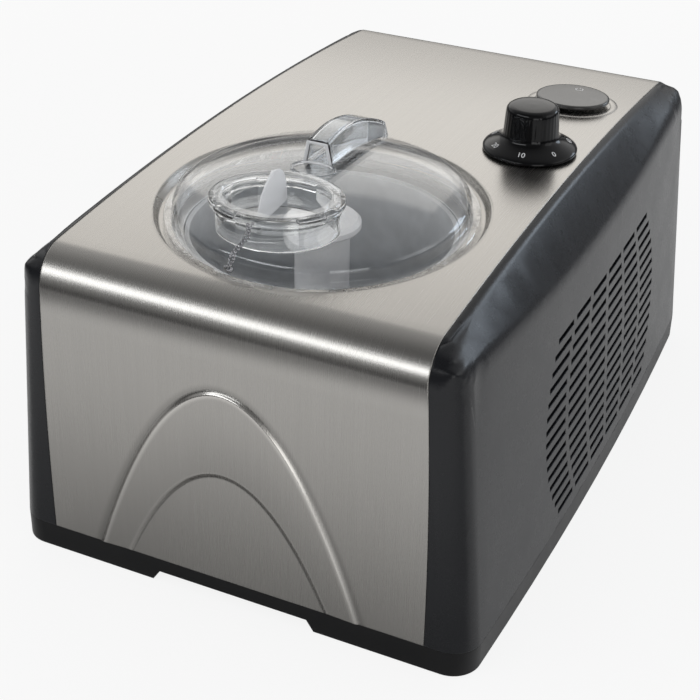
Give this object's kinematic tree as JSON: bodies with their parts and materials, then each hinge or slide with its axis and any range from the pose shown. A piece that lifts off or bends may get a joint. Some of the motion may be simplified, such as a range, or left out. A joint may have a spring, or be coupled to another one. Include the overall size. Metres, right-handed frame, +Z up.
{
  "type": "ice cream maker",
  "caption": "Countertop ice cream maker: steel-wrapped compressor casing with side vents, clear domed lid with filler collar, driven paddle, timer knob and power button.",
  "frame": {"origin": "on the table under the middle of the machine", "axes": "+X to the user's right, -Y towards the user (the arched steel front), +Z up"},
  "size_m": [0.285, 0.4064, 0.2297],
  "materials": {
    "brushed_steel": "brushed across the front and along the top",
    "black_plastic": "fine satin moulding",
    "base_plastic": "satin moulding",
    "gloss_black": "polished",
    "button_grey": "polished",
    "chrome": "polished",
    "clear_plastic": "clear polished moulding",
    "frosted_plastic": "translucent",
    "white_plastic": "translucent white moulding",
    "aluminium": "spun",
    "bright_steel": "turned",
    "zinc_steel": "zinc plated",
    "black_enamel": "semi-gloss enamel",
    "rubber": "matt",
    "foam": "cut foam",
    "copper": "drawn tube",
    "gear_nylon": "moulded nylon",
    "board_green": "solder mask"
  },
  "bodies": {
    "machine": {"base_tray": "base_plastic", "foot_pads": "rubber", "steel_wrap": "brushed_steel", "left_side_panel": "black_plastic", "right_side_panel": "black_plastic", "rear_panel": "black_plastic", "rear_screws": "zinc_steel", "base_screws": "zinc_steel", "cord_gland": "rubber", "chilling_pot": "aluminium", "evaporator_jacket": "aluminium", "insulation_jacket": "foam", "pot_seal": "rubber", "pot_bracket": "zinc_steel", "mixing_bowl": "bright_steel", "shaft_bush": "gear_nylon", "idler_pin": "bright_steel", "drive_motor": "zinc_steel", "gearbox_housing": "aluminium", "gearbox_cover": "zinc_steel", "compressor": "black_enamel", "compressor_grommets": "rubber", "condenser": "aluminium", "fan_shroud": "black_plastic", "fan_motor": "zinc_steel", "filter_drier": "copper", "suction_pipe": "copper", "discharge_pipe": "copper", "control_bracket": "zinc_steel", "timer_body": "white_plastic", "button_bezel": "brushed_steel", "button_spring": "bright_steel", "switch_body": "black_plastic", "control_board": "board_green", "board_bracket": "zinc_steel"},
    "drive": {"drive_shaft": "bright_steel", "output_gear": "gear_nylon", "mixing_paddle": "white_plastic"},
    "idler": {"idler_gear": "gear_nylon"},
    "motor_rotor": {"motor_shaft": "bright_steel", "motor_pinion": "bright_steel"},
    "fan": {"fan_blade": "black_plastic"},
    "timer": {"timer_knob": "gloss_black", "timer_shaft": "bright_steel"},
    "button": {"power_button": "button_grey"},
    "lid_group": {"lid": "clear_plastic", "lid_handle": "clear_plastic", "cap_chain": "chrome"},
    "cap": {"filler_cap": "frosted_plastic"}
  },
  "joints": [
    {"name": "paddle_spin", "type": "hinge", "parent": "machine", "child": "drive", "pos_m": [0, -0.094, 0.034], "axis": [0, 0, 1], "continuous": true},
    {"name": "idler_spin", "type": "hinge", "parent": "machine", "child": "idler", "pos_m": [0, -0.016, 0.034], "axis": [0, 0, 1], "continuous": true},
    {"name": "motor_spin", "type": "hinge", "parent": "machine", "child": "motor_rotor", "pos_m": [0, 0.035, 0.034], "axis": [0, 0, 1], "continuous": true},
    {"name": "fan_spin", "type": "hinge", "parent": "machine", "child": "fan", "pos_m": [0.092, 0.06, 0.08], "axis": [1, 0, 0], "continuous": true},
    {"name": "timer_turn", "type": "hinge", "parent": "machine", "child": "timer", "pos_m": [0.075, 0.0227, 0.2], "axis": [0, 0, -1], "range_deg": [0, 300]},
    {"name": "power_press", "type": "slide", "parent": "machine", "child": "button", "axis": [0, -0.0659, -0.9978], "range_m": [0, 0.002], "stiffness_N_per_m": 600, "springref_m": -0.001, "deforming": ["button_spring"]},
    {"name": "lid_lift", "type": "slide", "parent": "machine", "child": "lid_group", "axis": [0, -0.0366, 0.9993], "range_m": [0, 0.08]},
    {"name": "cap_lift", "type": "slide", "parent": "lid_group", "child": "cap", "axis": [0, -0.0366, 0.9993], "range_m": [0, 0.03]}
  ],
  "couplings": [
    {"joint": "idler_spin", "follows": "paddle_spin", "ratio": -0.85714},
    {"joint": "motor_spin", "follows": "paddle_spin", "ratio": 4}
  ]
}
